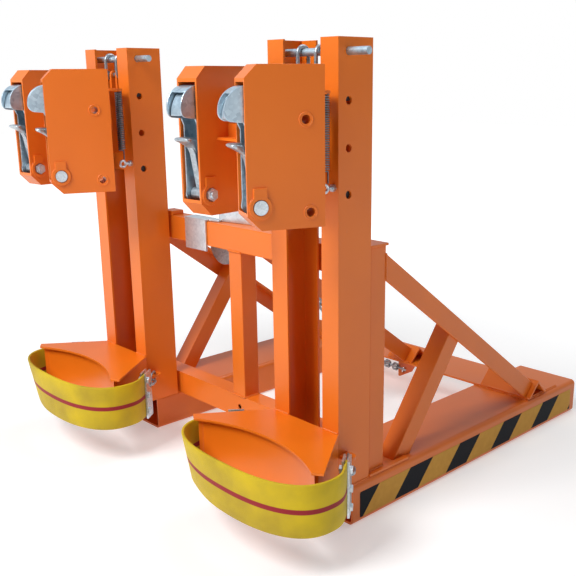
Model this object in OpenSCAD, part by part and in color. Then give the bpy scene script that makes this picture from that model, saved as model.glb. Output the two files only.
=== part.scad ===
// Fork-mounted double drum clamp: two fork sleeves carry two slotted columns,
// and in each column hangs a floating head with two splayed hook units.
// Millimetres, +Z up, floor at zero, drums stand on the -Y side.

/* [Columns] */
// Distance between the two column centres
column_pitch = 760; // [700:1:860]
// Height of the column tops above the floor
column_top = 1070; // [1000:1:1200]
// Depth of each channel, front to back
channel_depth = 100; // [90:1:120]
// Flange width of each channel
flange_w = 50; // [40:1:60]
// Steel thickness of the channels
channel_t = 6; // [4:0.5:8]
// Open slot between the two channels of a column
slot_w = 110; // [100:1:120]

/* [Height holes] */
// Bore of the height holes
height_hole_d = 17; // [16.6:0.1:20]
// Number of height holes in each web
height_hole_n = 4; // [3:1:5]
// Distance from one height hole to the next
height_hole_pitch = 94; // [80:1:110]
// Height of the top hole below the column top
height_hole_drop = 27; // [24:1:35]
// Distance of the holes behind the column front
height_hole_y = 30; // [26:1:36]
// Which hole the heads hang from, counted from the top
used_hole = 1; // [1:1:3]

/* [Fork sleeves] */
// Outside width of a sleeve
sleeve_w = 200; // [180:1:220]
// Outside height of a sleeve
sleeve_h = 100; // [90:1:120]
// Wall of a sleeve
sleeve_t = 6; // [4:0.5:8]
// Outside corner radius of a sleeve
sleeve_r = 12; // [9:0.5:16]
// Length of a sleeve
sleeve_len = 980; // [940:1:1100]
// Sleeve mouth behind the column front
sleeve_set_back = 40; // [20:1:60]
// Sleeve centre outside its column centre
sleeve_offset = 12.5; // [0:0.5:20]

/* [Rear frame] */
// Square tube of posts, beams and struts
tube = 50; // [40:1:55]
// Wall of the square tubes
tube_t = 4; // [3:0.5:5]
// Gap between column back and rear posts
tie_gap = 11; // [8:1:24]
// Post centre outside its column centre
post_offset = 70; // [62:1:72]
// Height of the upper crossbeam top
beam_top = 626; // [600:1:640]
// Height of both crossbeams' section
beam_h = 65; // [60:1:70]
// Thickness of the caps on the rear posts
cap_t = 6; // [4:0.5:8]
// Overhang of a cap past its post
cap_lip = 4; // [2:0.5:5]
// Drain hole in the lower crossbeam
drain_d = 14; // [10:1:18]
// Slope of the braces
brace_angle = 36.3; // [35:0.1:37.5]
// Leg of the angle iron of the braces
brace_leg = 50; // [45:1:60]
// Thickness of the braces' angle iron
brace_t = 6; // [5:0.5:8]
// Thickness of the rear cross plate
cross_t = 6; // [5:0.5:10]
// Width of the rear cross plate
cross_w = 160; // [150:1:180]
// Leg of the angle irons under the braces
foot_leg = 62; // [58:1:66]
// Thickness of those angle irons
foot_t = 6; // [5:0.5:8]
// Length of those angle irons
foot_len = 170; // [150:1:175]
// Start of a strut behind the column front
strut_y = 206; // [190:1:215]

/* [Safety chain] */
// Wire of the chain links
chain_wire = 7; // [6:0.5:7.5]
// Inside length of a chain link
chain_inner = 29.6; // [28:0.1:34]
// Inside width of a chain link
chain_gap = 11; // [10:0.5:13]
// Length of the hanging chain against the straight distance
chain_slack = 1.005; // [1.005:0.005:1.1]
// Thickness of the chain lug
lug_t = 8; // [6:0.5:10]
// Depth of the chain lug below the cross plate
lug_h = 50; // [45:1:60]
// Diameter of the round plate behind the beam
plate_d = 114; // [90:1:120]
// Thickness of the carriage hook strap
hook_t = 6; // [5:0.5:8]
// Width of the carriage hook tab
hook_w = 92; // [70:1:100]
// Length of the hook tab down the beam front
hook_drop = 86; // [70:1:100]

/* [Drum cradles] */
// Radius of the cradle arc
cradle_r = 400; // [360:1:440]
// Depth from column front to the middle of the arc
cradle_depth = 118; // [105:1:130]
// Half width of a cradle at its tips
cradle_half = 218; // [200:1:225]
// Height of the cradle top above the floor
cradle_top = 238; // [230:1:260]
// Plate thickness of a cradle
cradle_t = 6; // [5:0.5:8]
// How far the side plates sit in from the edge
cradle_inset = 12; // [10:1:16]

/* [Belts] */
// Width of a drum belt
belt_w = 120; // [110:1:130]
// Thickness of a drum belt
belt_t = 7; // [5:0.5:8]
// Half width of a belt's loop
belt_half = 222; // [218:1:230]
// How far the belt bulges in front of its widest line
belt_bulge = 116; // [105:1:120]
// Squareness of the belt's curve
belt_square = 2.6; // [2.2:0.1:2.8]
// Width of the clamp bars on a belt end
bar_w = 38; // [36:1:42]
// Thickness of the clamp bars
bar_t = 5; // [4:0.5:6]
// Bolt size of the clamp bars
bar_bolt_d = 10; // [8:1:10]
// Wire of the link between belt and column
belt_link_d = 6; // [5:0.5:7]

/* [Heads] */
// Splay of a hook unit toward the drum centre
splay = 13.5; // [12:0.5:18]
// Half distance between the two units at their rear
unit_half = 141; // [138:1:150]
// Gap between column front and unit rear
unit_gap = 60; // [58:1:72]
// Turn of both heads on their swivel pins, as they stand
head_turn = 9; // [0:0.5:12]
// Swivel pin in front of the column's front
swivel_out = 30; // [28:1:34]
// Diameter of the swivel pin
swivel_d = 20; // [16:1:22]
// Side plate length of a unit
casing_len = 155; // [150:1:175]
// Side plate height of a unit
casing_h = 300; // [296:1:320]
// Overall width of a unit
casing_w = 60; // [60:1:66]
// Steel thickness of a unit
casing_t = 5; // [4:0.5:5]
// Chamfer at the front top corner
chamfer_top = 24; // [20:1:26]
// Chamfer at the front bottom corner
chamfer_bottom = 27; // [22:1:28]
// Drop of a unit's top below the pin centre
casing_drop = 26; // [24:1:36]
// Outside diameter of the cross tubes in a unit
cross_tube_d = 26; // [24:0.5:28]
// Bore of the cross tubes
cross_tube_bore = 17; // [15:0.5:19]

/* [Hooks and jaws] */
// Diameter of the pivot bolt
pivot_d = 16; // [14:0.5:18]
// Radial clearance of a part turning on the pivot bolt
pivot_fit = 0.05; // [0.02:0.01:0.1]
// Pivot height above the bottom of a unit
pivot_up = 44; // [42:1:50]
// Pivot distance from the rear of a unit
pivot_y = 130; // [126:1:134]
// Overall width of a hook
hook_body_w = 46; // [44:0.5:47]
// Sheet thickness of a hook
hook_sheet = 4; // [3:0.5:4.5]
// Height of the hook nose above the pivot
nose_up = 224; // [218:1:230]
// Height of the hook nose itself
nose_h = 66; // [60:1:70]
// Reach of the hook nose in front of the pivot
nose_reach = 67; // [60:1:72]
// Depth of a hook's arm
arm_depth = 30; // [26:1:32]
// Width of the jaw lip
lip_w = 45; // [40:1:46]
// Height of the lip above the pivot
lip_up = 117; // [110:1:122]
// Reach of the lip in front of the pivot
lip_reach = 56; // [50:1:60]
// Width of the jaw bar
jaw_bar_w = 26; // [22:1:30]
// Diameter of the pivot bolt's head
bolt_head_d = 28; // [26:0.5:30]
// Width across flats of the pivot nut
nut_flats = 24; // [22:0.5:26]
// Outside diameter of the welded lock ring
lock_ring_d = 44; // [42:0.5:48]

/* [Carriages] */
// Clearance between carriage and column
slide_gap = 0.8; // [0.5:0.1:1.2]
// Height of a carriage plate
carriage_h = 240; // [220:1:260]
// Thickness of a carriage plate
carriage_t = 12; // [10:1:14]
// Height of a guide shoe
shoe_h = 40; // [36:1:50]
// Width of a guide shoe
shoe_w = 24; // [20:1:26]
// Thickness of the plate between the two units
front_plate_t = 10; // [8:1:12]
// Height of the plate between the two units
front_plate_h = 148; // [140:1:152]

/* [Pins and springs] */
// Diameter of the adjusting pin
pin_d = 16; // [15:0.5:16.4]
// How far the pin stands out on the right
pin_out = 54; // [45:1:60]
// How far the pin stands out on the left
pin_in = 24; // [22:1:30]
// Wire of the hanger links
hanger_wire = 8; // [6:0.5:9]
// Inside length of the hanger links
hanger_len = 54; // [52:1:60]
// Diameter of the hanger bolt
hanger_bolt_d = 12; // [10:0.5:14]
// Free upward travel of a head
head_float = 18; // [12:1:18]
// Wire of the return spring
spring_wire = 3.4; // [2.5:0.1:3.6]
// Outside diameter of the return spring
spring_d = 20; // [16:0.5:22]
// Pitch of the return spring
spring_pitch = 4.6; // [4.2:0.1:5]
// Number of curls of the return spring
spring_curls = 32; // [20:1:34]

/* [Hidden] */
$fn = 48;
eps = 0.01;
right = 1;
left = -1;

// column
col_x = column_pitch / 2;
col_w = 2 * flange_w + slot_w;
col_half = col_w / 2;
hole_z0 = column_top - height_hole_drop;
pin_z = hole_z0 - (used_hole - 1) * height_hole_pitch;

// sleeves and rear frame
sleeve_x = col_x + sleeve_offset;
sleeve_end = sleeve_set_back + sleeve_len;
frame_y = channel_depth + tie_gap;
frame_back = frame_y + tube;
post_x = col_x + post_offset;
beam_bottom = beam_top - beam_h;
post_top = beam_top + 10;
pad_t = 6;
pad_edge = 13;
pad_front = 1.5;
pad_end = 240;
cap_side = tube + 2 * cap_lip;
tie_side = 50;
tie_out = 66;
lower_beam_top = sleeve_h + beam_h;
cross_top = sleeve_h + cross_t;
brace_v = brace_leg / cos(brace_angle);
brace_low_z = beam_bottom - 5;
foot_in = 46;
foot_half = foot_leg * sqrt(2) / 2;
// where the brace's lower edge reaches the cross plate
foot_y = frame_back + (brace_low_z - cross_top) / tan(brace_angle);
foot_mid = foot_y + foot_half;
cross_y = foot_y - 2;
strut_dir = 90 - brace_angle;

// cradle
arc_y = -cradle_depth - cradle_r;
arc_half = cradle_half - 25;
arc_end = arc_y + sqrt(cradle_r * cradle_r - arc_half * arc_half);
tip_y = arc_end + 12;
wall_arc_r = cradle_r + cradle_inset;
wall_half = cradle_half - 2 * cradle_inset;
wall_arc_end = arc_y + sqrt(wall_arc_r * wall_arc_r - wall_half * wall_half);

// belt
belt_top = cradle_top - cradle_t - 10;
belt_low = belt_top - belt_w;
belt_y = tip_y + 26;
belt_bend_r = 70;
belt_bend = 37;
belt_straight = 42;
belt_n = 30;
belt_tail_n = 8;
bar_over = 5;
bar_past = 18;
bar_bolt_in = 10;
link_hole_out = 9;
link_hole_d = 12;
link_rest = 6.7;
lug_hole = 14;
bar_len = belt_w + 2 * bar_over;
bar_mid_z = belt_low + belt_w / 2;

// heads
casing_top = pin_z - casing_drop;
casing_low = casing_top - casing_h;
casing_in = casing_w - 2 * casing_t;
pivot_z = casing_low + pivot_up;
rear_y = -unit_gap;
tube_high = 98;
tube_high_y = 38;
tube_low = 270;
tube_low_y = 30;
nose_y = pivot_y + nose_reach;
swivel_y = -swivel_out;
outer_yaw = splay + head_turn;
turned_rear_y = swivel_y - unit_half * sin(head_turn) + (rear_y - swivel_y) * cos(head_turn);
nose_front = turned_rear_y - nose_y * cos(outer_yaw) - hook_body_w / 2 * sin(outer_yaw);
pivot_bore = pivot_d + 2 * pivot_fit;
eye_d = 26;
eye_w = hook_body_w - 2 * hook_sheet - 2;
arm_back = pivot_y - 22;
arm_front = arm_back + arm_depth;

// carriage, pin and hanger
hanger_in_w = 22;
hanger_low = pin_z + pin_d / 2 + 0.3 - hanger_len;
hanger_bolt_z = hanger_low + hanger_bolt_d / 2 + 0.3;
lug_r = 11.5;
lug_x = 14;
lug_w = 8;
carriage_top = hanger_bolt_z - 16;
carriage_low = carriage_top - carriage_h;
carriage_y0 = channel_depth / 2 - carriage_t / 2;
shoe_x = col_half - channel_t - slide_gap;
shoe_front = channel_t + slide_gap;
shoe_back = channel_depth - channel_t - slide_gap;
plate_top = casing_top - 112;
plate_low = plate_top - front_plate_h;
neck_x = 15;
neck_t = 10;
neck_y = -7;
swivel_fit = 0.05;
barrel_d = 40;
barrel_h = 60;
knuckle_h = 24;
knuckle_gap = 0.5;
swivel_z = (plate_low + plate_top) / 2;
swivel_top = swivel_z + barrel_h / 2 + knuckle_gap + knuckle_h;
swivel_low = swivel_z - barrel_h / 2 - knuckle_gap - knuckle_h;
swivel_head_d = 30;
swivel_head_t = 6;
swivel_nut = 30;
swivel_nut_t = 10;
clip_x = 10;
clip_stem = 5.6;
clip_hole = 6;
clip_ring = 18;
clip_wire = 3.4;

// spring
spring_x = 92;
spring_y = -25;
spring_r = (spring_d - spring_wire) / 2;
spring_body = spring_curls * spring_pitch;
spring_low = carriage_top - 28 - spring_body;
spring_tail = 24;
anchor_z = spring_low - spring_tail - 12;
bracket_t = 6;

// chain
chain_step = chain_inner - 0.6;
chain_r = (chain_gap + chain_wire) / 2;
lug_y = cross_y + 6;
lug_hole_y = lug_y + 18;
lug_hole_z = sleeve_h - 33;
lug_hole_d = 20;
end_ring_w = 16;
end_ring_len = 34;
hook_z = beam_top + 0.3;
hook_tab_x = -206;
hook_arm_w = 34;
hook_eye_x = 126;
hook_eye_d = 18;
hook_arm_y = frame_y + 24;
hook_eye_y = frame_back + 20;
plate_x = -114;
plate_t = 6;
hook_eye_z = hook_z + hook_arm_w / 2;
// heading and fall of the first links below the eye
chain_turns = [[101, 88], [101, 76], [102, 64]];
chain_from = [hook_eye_x, hook_eye_y, hook_eye_z - hook_eye_d / 2 + 1];
ring_fall = 30;
hang_to = [0, lug_hole_y - (end_ring_len - 2) * cos(ring_fall), lug_hole_z + (end_ring_len - 2) * sin(ring_fall)];

// the whole part is centred front to back
shift_y = -(nose_front + sleeve_end) / 2;

orange = [0.93, 0.42, 0.10];
zinc = [0.72, 0.75, 0.78];
dark = [0.25, 0.26, 0.28];
yellow = [0.85, 0.72, 0.12];

// shared building blocks

module place() {
  translate([0, shift_y, 0]) children();
}

// profile drawn in Y and Z, thick along X and centred on it
module along_x(w) {
  translate([-w / 2, 0, 0]) rotate([90, 0, 90]) linear_extrude(w) children();
}

module x_cylinder(d, w) {
  rotate([0, 90, 0]) cylinder(d = d, h = w, center = true);
}

module square_tube(len) {
  linear_extrude(len) difference() {
    square(tube, center = true);
    square(tube - 2 * tube_t, center = true);
  }
}

module hex_prism(flats, h) {
  cylinder(d = flats / cos(30), h = h, $fn = 6);
}

// ring of a chain link standing in the XZ plane, long along Z
module oval_link(wire, inner_len, inner_w) {
  r = (inner_w + wire) / 2;
  half = inner_len / 2 - inner_w / 2;
  for (s = [-1, 1]) translate([s * r, 0, -half]) cylinder(d = wire, h = 2 * half);
  for (s = [-1, 1]) translate([0, 0, s * half]) rotate([90, 0, 0])
    rotate([0, 0, s > 0 ? 0 : 180]) rotate_extrude(angle = 180) translate([r, 0]) circle(d = wire);
}

// columns

module channel_profile() {
  difference() {
    square([flange_w, channel_depth]);
    translate([channel_t, channel_t]) square([flange_w, channel_depth - 2 * channel_t]);
  }
}

// web on the -X side, open toward +X
module channel() {
  difference() {
    translate([0, 0, sleeve_h]) linear_extrude(column_top - sleeve_h) channel_profile();
    for (i = [0 : height_hole_n - 1])
      translate([0, height_hole_y, hole_z0 - i * height_hole_pitch])
        rotate([0, 90, 0]) cylinder(d = height_hole_d, h = 4 * channel_t, center = true);
  }
}

module column_channel(side, hand) {
  color(orange) place() translate([side * col_x, 0, 0])
    if (hand > 0) translate([col_half, 0, 0]) mirror([1, 0, 0]) channel();
    else translate([-col_half, 0, 0]) channel();
}

// fork sleeves

module rounded_rect(w, h, r) {
  difference() {
    square([w, h]);
    for (x = [0, 1], y = [0, 1]) translate([x * w, y * h]) mirror([x, 0]) mirror([0, y])
      difference() {
        translate([-1, -1]) square(r + 1);
        translate([r, r]) circle(r);
      }
  }
}

module fork_sleeve(side) {
  inner_r = sleeve_r - sleeve_t;
  color(orange) place() translate([side * sleeve_x - sleeve_w / 2, sleeve_end, 0])
    rotate([90, 0, 0]) linear_extrude(sleeve_len) difference() {
      rounded_rect(sleeve_w, sleeve_h, sleeve_r);
      translate([sleeve_t, sleeve_t])
        rounded_rect(sleeve_w - 2 * sleeve_t, sleeve_h - 2 * sleeve_t, inner_r);
    }
}

// rear frame

module rear_posts() {
  color(orange) place() for (s = [left, right]) {
    translate([s * post_x, frame_y + tube / 2, sleeve_h + pad_t])
      square_tube(post_top - sleeve_h - pad_t);
    translate([s * (col_x + tie_out) - tie_side / 2, channel_depth, beam_bottom])
      cube([tie_side, tie_gap, beam_h]);
  }
}

module post_caps() {
  color(orange) place() {
    for (s = [left, right])
      translate([s * post_x - cap_side / 2, frame_y - cap_lip, post_top])
        cube([cap_side, cap_side, cap_t]);
    // short block welded on the beam beside the left column
    translate([-col_x + 62, frame_y, beam_top]) cube([46, 38, cap_t * 2]);
  }
}

// plate under each post with a strip that runs on beside the strut
module foot_plates() {
  x0 = post_x - tube / 2 + 1;
  x1 = post_x + tube / 2 + pad_edge;
  color(orange) place() for (s = [left, right]) mirror([s < 0 ? 1 : 0, 0, 0])
    translate([0, 0, sleeve_h]) linear_extrude(pad_t)
      polygon([[x0, channel_depth + pad_front], [x1, channel_depth + pad_front], [x1, pad_end],
        [x1 - pad_edge, pad_end], [x1 - pad_edge, frame_back + cap_lip], [x0, frame_back + cap_lip]]);
}

module centre_post() {
  color(orange) place() translate([0, frame_y + tube / 2, lower_beam_top])
    square_tube(beam_bottom - lower_beam_top);
}

module crossbeam(low) {
  span = 2 * post_x - tube;
  translate([-span / 2, frame_y, low]) rotate([90, 0, 90]) linear_extrude(span)
    difference() {
      square([tube, beam_h]);
      translate([tube_t, tube_t]) square([tube - 2 * tube_t, beam_h - 2 * tube_t]);
    }
}

module upper_crossbeam() {
  color(orange) place() crossbeam(beam_bottom);
}

module lower_crossbeam() {
  color(orange) place() difference() {
    crossbeam(sleeve_h);
    translate([0, frame_y, sleeve_h + beam_h / 2]) rotate([90, 0, 0])
      cylinder(d = drain_d, h = 4 * tube_t, center = true);
  }
}

// side view of a brace: square on the post, cut to the foot's slope below;
// drop takes that much off its upper edge
module brace_outline(drop) {
  t = tan(brace_angle);
  high0 = brace_low_z + brace_v - drop / cos(brace_angle);
  meet = (high0 + frame_back * t + foot_y - cross_top) / (1 + t);
  polygon([[frame_back, high0], [frame_back, brace_low_z], [foot_y, cross_top],
    [meet, high0 - (meet - frame_back) * t]]);
}

// angle iron with one leg on top and one on its outer side
module brace() {
  difference() {
    along_x(brace_leg) brace_outline(0);
    translate([-brace_t, 0, 0]) along_x(brace_leg) difference() {
      offset(delta = 2) brace_outline(0);
      brace_leg_strip();
    }
  }
}

// the top leg's side view, long enough to pass both ends
module brace_leg_strip() {
  t = tan(brace_angle);
  v = brace_t / cos(brace_angle);
  y0 = frame_back - tube;
  y1 = foot_mid + tube;
  high = brace_low_z + brace_v + frame_back * t;
  polygon([[y0, high - y0 * t + tube], [y0, high - v - y0 * t], [y1, high - v - y1 * t],
    [y1, high - y1 * t + tube]]);
}

module side_brace(side) {
  color(orange) place() translate([side * post_x, 0, 0]) mirror([side < 0 ? 1 : 0, 0, 0]) brace();
}

module centre_brace() {
  color(orange) place() brace();
}

// strut square to the brace, level on the sleeve, its top under the brace's top leg
module strut_outline(inset) {
  foot_w = tube / sin(strut_dir);
  v = inset / sin(strut_dir);
  z0 = sleeve_h - (inset > 0 ? 1 : 0);
  t = tan(strut_dir);
  b = tan(brace_angle);
  k = inset > 0 ? 1 : 0;
  base = brace_low_z + brace_v - (brace_t + eps) / cos(brace_angle) + frame_back * b + k;
  y0 = strut_y + v;
  y1 = strut_y + foot_w - v;
  ya = (base - sleeve_h + y0 * t) / (b + t);
  yb = (base - sleeve_h + y1 * t) / (b + t);
  y0b = y0 - (sleeve_h - z0) / t;
  y1b = y1 - (sleeve_h - z0) / t;
  polygon([[y0b, z0], [y1b, z0], [yb, base - yb * b], [ya, base - ya * b]]);
}

module brace_struts() {
  color(orange) place() for (s = [left, right]) translate([s * (post_x - brace_t - eps), 0, 0])
    difference() {
      along_x(tube) strut_outline(0);
      along_x(tube - 2 * tube_t) strut_outline(tube_t);
    }
}

// angle iron lying on its two edges, its ridge along X
module foot(len) {
  w = foot_t * sqrt(2);
  translate([0, foot_mid, cross_top]) along_x(len)
    polygon([[-foot_half, 0], [0, foot_half], [foot_half, 0],
      [foot_half - w, 0], [0, foot_half - w], [-foot_half + w, 0]]);
}

module brace_feet() {
  color(orange) place() {
    for (s = [left, right]) translate([s * (post_x - foot_in), 0, 0]) foot(foot_len);
    foot(foot_len * 0.6);
  }
}

module rear_cross_plate() {
  span = 2 * (sleeve_x + sleeve_w / 2 - sleeve_r);
  color(orange) place() translate([-span / 2, cross_y, sleeve_h]) cube([span, cross_w, cross_t]);
}

// safety chain, its lug, the round plate and the carriage hook

module chain_lug() {
  color(orange) place() translate([0, lug_y, 0]) difference() {
    along_x(lug_t) polygon([[0, sleeve_h], [0, sleeve_h - lug_h], [62, sleeve_h - lug_h],
      [88, sleeve_h - lug_h + 24], [88, sleeve_h]]);
    translate([0, lug_hole_y - lug_y, lug_hole_z]) x_cylinder(lug_hole_d, 2 * lug_t);
  }
}

function polar(heading, fall) = [cos(fall) * cos(heading), cos(fall) * sin(heading), -sin(fall)];
function walk(p, k) = k == 0 ? p
  : walk(p, k - 1) + chain_step * polar(chain_turns[k - 1][0], chain_turns[k - 1][1]);
hang_from = walk(chain_from, len(chain_turns));
hang_len = norm(hang_to - hang_from);
hanging_n = ceil(chain_slack * hang_len / chain_step);
// bend per link that makes the hanging arc end on the ring
function arc_chord(b) = chain_step * sin(hanging_n * b / 2) / sin(b / 2);
function find_bend(lo, hi, k) = let (m = (lo + hi) / 2) k == 0 ? m
  : arc_chord(m) > hang_len ? find_bend(m, hi, k - 1) : find_bend(lo, m, k - 1);
hang_bend = find_bend(0.01, 12, 30);
hang_r = chain_step / (2 * sin(hang_bend / 2));
hang_heading = atan2(hang_to[1] - hang_from[1], hang_to[0] - hang_from[0]);
hang_fall = asin((hang_from[2] - hang_to[2]) / hang_len);
function hang(i) = let (a = (i - hanging_n / 2) * hang_bend, h = hanging_n * hang_bend / 2,
  u = hang_r * (sin(h) + sin(a)), w = hang_r * (cos(a) - cos(h)))
  hang_from + u * polar(hang_heading, hang_fall) - w * polar(hang_heading, hang_fall - 90);

module chain_link(a, b, roll) {
  d = b - a;
  translate((a + b) / 2) rotate([0, acos(d[2] / norm(d)), atan2(d[1], d[0])])
    rotate([0, 0, roll]) oval_link(chain_wire, chain_inner, chain_gap);
}

module safety_chain() {
  n = len(chain_turns);
  ring_end = [0, lug_hole_y, lug_hole_z];
  color(zinc) place() {
    for (i = [0 : n - 1])
      chain_link(walk(chain_from, i), walk(chain_from, i + 1), i % 2 == 0 ? 0 : 90);
    for (i = [0 : hanging_n - 1]) chain_link(hang(i), hang(i + 1), (i + n) % 2 == 0 ? 0 : 90);
    translate((hang_to + ring_end) / 2) rotate([-90 - ring_fall, 0, 0])
      oval_link(chain_wire, end_ring_len, end_ring_w);
  }
}

module round_plate() {
  color(zinc) place() translate([plate_x, frame_back, beam_bottom - 1]) rotate([-90, 0, 0])
    cylinder(d = plate_d, h = plate_t);
}

// strap bent over the beam, its arm turned on edge and ending in an eye
module carriage_hook() {
  tab_y = frame_y - hook_t - 0.3;
  arm_x0 = hook_tab_x + hook_w;
  run = [hook_eye_x - arm_x0, hook_eye_y - hook_arm_y];
  turn = atan2(run[1], run[0]);
  color(zinc) place() {
    translate([hook_tab_x, tab_y, hook_z + hook_t - hook_drop]) cube([hook_w, hook_t, hook_drop]);
    translate([hook_tab_x, tab_y, hook_z]) cube([hook_w, tube - 10, hook_t]);
    translate([arm_x0, hook_arm_y, hook_z]) rotate([0, 0, turn]) {
      translate([-12, -14, 0]) cube([42, 20, hook_t]);
      difference() {
        union() {
          translate([20, -hook_t / 2, 0]) cube([norm(run) - 20, hook_t, hook_arm_w]);
          translate([norm(run), 0, hook_arm_w / 2]) rotate([90, 0, 0])
            cylinder(d = hook_arm_w, h = hook_t, center = true);
        }
        translate([norm(run), 0, hook_arm_w / 2]) rotate([90, 0, 0])
          cylinder(d = hook_eye_d, h = 3 * hook_t, center = true);
      }
    }
  }
}

// drum cradles

module cradle_plate() {
  difference() {
    polygon([[-col_half, 0], [-cradle_half, tip_y], [-arc_half, arc_end - 4],
      [-arc_half, arc_y], [arc_half, arc_y], [arc_half, arc_end - 4],
      [cradle_half, tip_y], [col_half, 0]]);
    translate([0, arc_y]) circle(cradle_r, $fn = 180);
    translate([-cradle_half, arc_y - 1]) square([2 * cradle_half, arc_end - arc_y - 3]);
  }
}

module cradle_side() {
  y1 = wall_arc_end + 2;
  polygon([[col_half, 0], [col_half - cradle_t, 0], [wall_half - cradle_t, y1],
    [wall_half, y1 - cradle_t]]);
}

module cradle_front() {
  intersection() {
    translate([0, arc_y]) difference() {
      circle(wall_arc_r + cradle_t, $fn = 180);
      circle(wall_arc_r, $fn = 180);
    }
    translate([-wall_half, arc_y]) square([2 * wall_half, cradle_r * 2]);
  }
}

module cradle(side) {
  color(orange) place() translate([side * col_x, 0, 0]) {
    translate([0, 0, cradle_top - cradle_t]) linear_extrude(cradle_t) cradle_plate();
    translate([0, 0, sleeve_h]) linear_extrude(cradle_top - cradle_t - sleeve_h) {
      cradle_front();
      cradle_side();
      mirror([1, 0]) cradle_side();
    }
  }
}

// belts with their clamps

// right half of the belt's centre line: straight end, bend, and the front's curve
function belt_heading() = [-sin(belt_bend), cos(belt_bend)];
function belt_arc(f) = [belt_half - belt_bend_r * (1 - cos(belt_bend * f)),
  belt_y + belt_bend_r * sin(belt_bend * f)];
function belt_end() = belt_arc(1) + belt_straight * belt_heading();
function belt_front(f) = [belt_half * pow(cos(90 * f), 2 / belt_square),
  belt_y - belt_bulge * pow(sin(90 * f), 2 / belt_square)];
function belt_half_line() = concat([belt_end()],
  [for (i = [0 : belt_tail_n - 1]) belt_arc(1 - i / belt_tail_n)],
  [for (i = [0 : belt_n]) belt_front(i / belt_n)]);
function mirrored(p) = [for (i = [len(p) - 2 : -1 : 0]) [-p[i][0], p[i][1]]];
function belt_line() = concat(belt_half_line(), mirrored(belt_half_line()));

function unit(v) = v / norm(v);
function line_dir(p, i) = unit(p[min(i + 1, len(p) - 1)] - p[max(i - 1, 0)]);
function beside(p, i, d) = let (t = line_dir(p, i)) p[i] + d * [-t[1], t[0]];

module belt(side) {
  p = belt_line();
  n = len(p) - 1;
  band = concat([for (i = [0 : n]) beside(p, i, belt_t / 2)],
    [for (i = [n : -1 : 0]) beside(p, i, -belt_t / 2)]);
  color(yellow) difference() {
    place() translate([side * col_x, 0, belt_low]) linear_extrude(belt_w) polygon(band);
    place() at_belt_ends(side) bar_bolt_spots() x_cylinder(bar_bolt_d + 0.4, 3 * belt_t);
  }
}

// frame at the middle of each belt end, X across the belt and Y along its run
module at_belt_ends(side) {
  e = belt_end();
  for (h = [0, 1]) translate([side * col_x, 0, 0]) mirror([h, 0, 0])
    translate([e[0], e[1], bar_mid_z]) rotate([0, 0, belt_bend]) children();
}

module bar_bolt_spots() {
  for (i = [-1, 0, 1]) translate([0, -bar_bolt_in, i * bar_len / 3]) children();
}

module belt_clamp_bars() {
  color(zinc) place() for (side = [left, right], s = [-1, 1]) at_belt_ends(side) difference() {
    translate([s * (belt_t + bar_t) / 2, bar_past - bar_w / 2, 0])
      cube([bar_t - 0.2, bar_w, bar_len], center = true);
    bar_bolt_spots() x_cylinder(bar_bolt_d + 0.4, 4 * (belt_t + bar_t));
    translate([0, link_hole_out, lug_z - bar_mid_z]) x_cylinder(link_hole_d, 4 * (belt_t + bar_t));
  }
}

module belt_clamp_bolts() {
  head_h = 6;
  grip = belt_t + 2 * bar_t;
  flats = bar_bolt_d * 1.6;
  color(zinc) place() for (side = [left, right]) at_belt_ends(side) bar_bolt_spots() {
    translate([grip / 2, 0, 0]) rotate([0, 90, 0]) hex_prism(flats, head_h);
    x_cylinder(bar_bolt_d - 0.2, grip + 0.4);
    translate([-grip / 2 - head_h, 0, 0]) rotate([0, 90, 0]) hex_prism(flats, head_h);
  }
}

// ring lug on the column's side and the two links from it to the bars
lug_d = 32;
lug_plate_t = 8;
lug_eye = [col_half + lug_d / 2, lug_d / 2];
lug_z = bar_mid_z + bar_len / 6;

module belt_lugs() {
  color(orange) place() for (side = [left, right], h = [0, 1]) translate([side * col_x, 0, 0])
    mirror([h, 0, 0]) difference() {
      union() {
        translate([lug_eye[0], lug_eye[1], lug_z - lug_plate_t / 2]) cylinder(d = lug_d, h = lug_plate_t);
        translate([col_half, 2, lug_z - lug_plate_t / 2]) cube([lug_d / 2, lug_d - 4, lug_plate_t]);
      }
      translate([lug_eye[0], lug_eye[1], lug_z - lug_plate_t]) cylinder(d = lug_hole, h = 2 * lug_plate_t);
    }
}

module belt_links() {
  far = belt_end() + link_rest * belt_heading();
  turn = atan2(far[1] - lug_eye[1], far[0] - lug_eye[0]);
  start = lug_hole / 2 - belt_link_d / 2 - 0.8;
  inner_len = (norm(far - lug_eye) - start - belt_link_d + 0.3) / 2;
  inner_w = belt_t + 2 * bar_t + 7;
  step = inner_len - 0.3;
  color(zinc) place() for (side = [left, right], h = [-1, 1])
    translate([side * col_x + h * lug_eye[0], lug_eye[1], lug_z])
      rotate([0, 0, h > 0 ? turn : 180 - turn]) for (i = [0, 1])
        translate([start + (inner_len + belt_link_d) / 2 + i * step, 0, 0])
          rotate([0, 90, 0]) rotate([0, 0, i * 90]) oval_link(belt_link_d, inner_len, inner_w);
}

module spring_anchors() {
  color(zinc) place() for (side = [left, right])
    translate([side * col_x + spring_x, 0, anchor_z]) {
      translate([0, spring_y + 9, 0]) rotate([-90, 0, 0]) cylinder(d = 8, h = -spring_y - 9);
      translate([0, -7, 0]) rotate([-90, 0, 0]) hex_prism(14, 7);
      translate([0, spring_y, 0]) rotate([0, 90, 0]) rotate_extrude() translate([8, 0]) circle(d = 6);
    }
}

// hook units

// unit frame: Y runs back along the unit from its nose, X across it
module at_unit(side, hand) {
  at_head(side) translate([hand * unit_half, rear_y, 0]) rotate([0, 0, -hand * splay])
    mirror([hand < 0 ? 1 : 0, 0, 0]) children();
}

module color_place(side) {
  place() translate([side * col_x, 0, 0]) children();
}

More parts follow.
